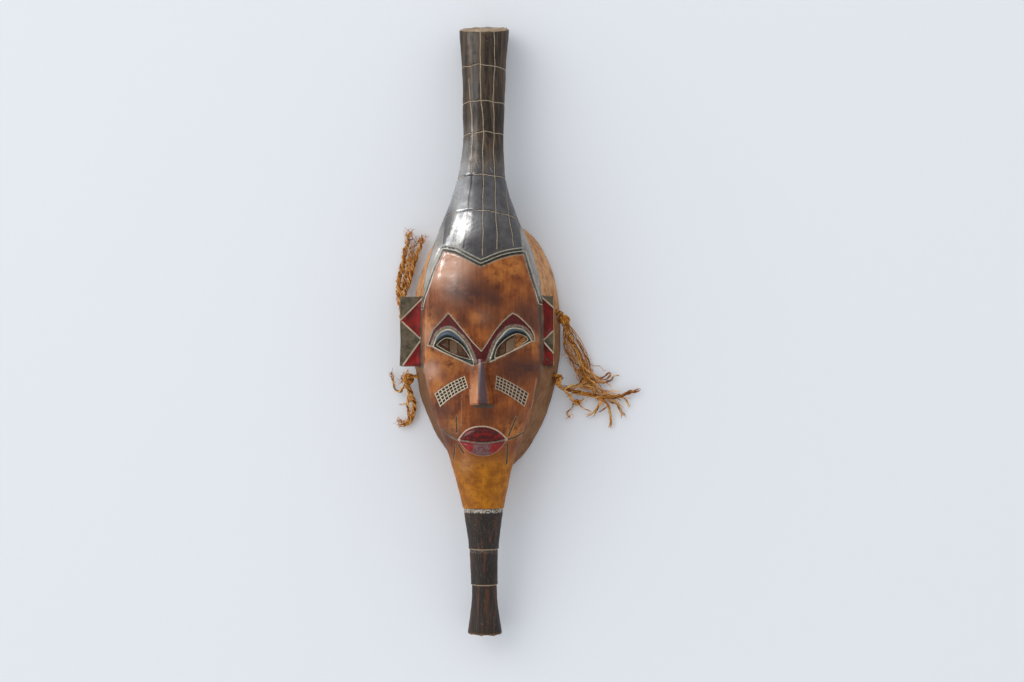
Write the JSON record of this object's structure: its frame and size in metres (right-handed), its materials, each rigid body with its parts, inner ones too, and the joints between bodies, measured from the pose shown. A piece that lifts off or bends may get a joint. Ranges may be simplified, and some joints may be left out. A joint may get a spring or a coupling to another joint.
{
  "type": "carved wooden mask",
  "caption": "Oval carved face mask with a tall bottle-shaped headdress, square ears, slit eyes and a ringed beard, hollow behind, with raffia ties at the rim.",
  "frame": {"origin": "on the flat back of the rim, on the middle line, where the headdress springs from it", "axes": "+X to the viewer's right, +Y along the mask toward the end of the headdress, +Z out of the face; the mask lies on its back"},
  "size_m": [0.2422, 0.583, 0.092],
  "materials": {
    "carved_wood": "stained and painted, waxed to a soft gloss",
    "raffia": "dry twisted plant fibre"
  },
  "bodies": {
    "root": {"carved_mask": "carved_wood", "raffia_tie_upper_left": "raffia", "raffia_tie_lower_left": "raffia", "raffia_tie_upper_right": "raffia", "raffia_tie_lower_right": "raffia"}
  },
  "joints": []
}
